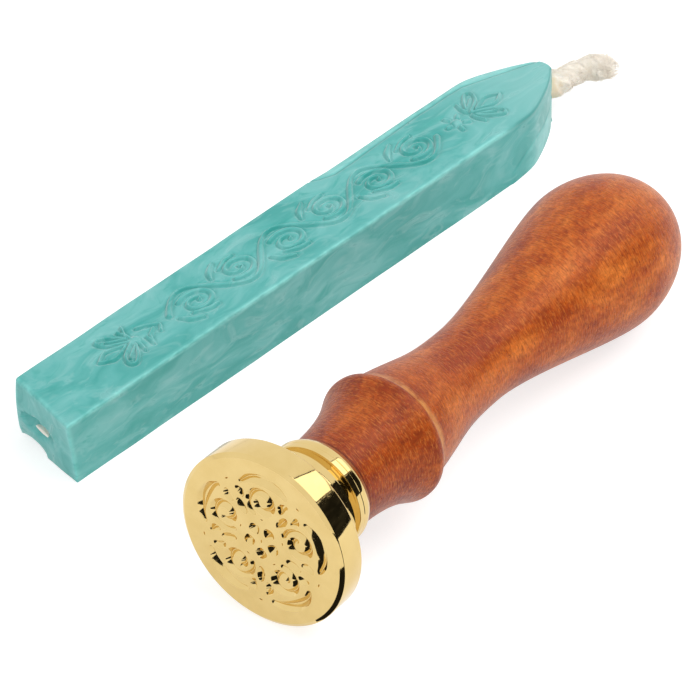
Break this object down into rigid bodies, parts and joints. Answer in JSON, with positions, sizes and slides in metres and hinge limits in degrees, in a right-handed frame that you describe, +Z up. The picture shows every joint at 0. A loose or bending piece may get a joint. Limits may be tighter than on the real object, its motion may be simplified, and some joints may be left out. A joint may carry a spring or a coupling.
{
  "type": "wax seal set",
  "caption": "Wax seal set: a desk seal with a turned wooden handle and screw-on brass head lying beside a pointed stick of sealing wax with a cotton wick.",
  "frame": {"origin": "middle of the whole set's bounding box, on the table it lies on", "axes": "+X along the wax stick from its butt to its pointed end, +Z up from the table"},
  "size_m": [0.1178, 0.0608, 0.0251],
  "materials": {
    "gilt_brass": "polished, gold-plated",
    "steel": "plain, as threaded",
    "varnished_wood": "red-brown stain under clear varnish",
    "sealing_wax": "pearly turquoise wax, satin",
    "cotton": "unbleached cotton cord"
  },
  "bodies": {
    "handle": {"handle": "varnished_wood"},
    "stud": {"threaded_stud": "steel"},
    "seal_head": {"seal_head": "gilt_brass"},
    "wax": {"wax_stick": "sealing_wax", "wick": "cotton"}
  },
  "joints": [
    {"name": "head_turn", "type": "hinge", "parent": "handle", "child": "stud", "pos_m": [-0.05762, -0.01798, 0.0126], "axis": [-0.9948, -0.0988, 0.0265], "range_deg": [0, 2880]},
    {"name": "head_travel", "type": "slide", "parent": "stud", "child": "seal_head", "axis": [-0.9948, -0.0988, 0.0265], "range_m": [0, 0.008]},
    {"name": "wax_lift", "type": "slide", "parent": "handle", "child": "wax", "axis": [0, 0, 1], "range_m": [0, 0.04]}
  ],
  "couplings": [
    {"joint": "head_travel", "follows": "head_turn", "m_per_rad": 0.00015915}
  ]
}
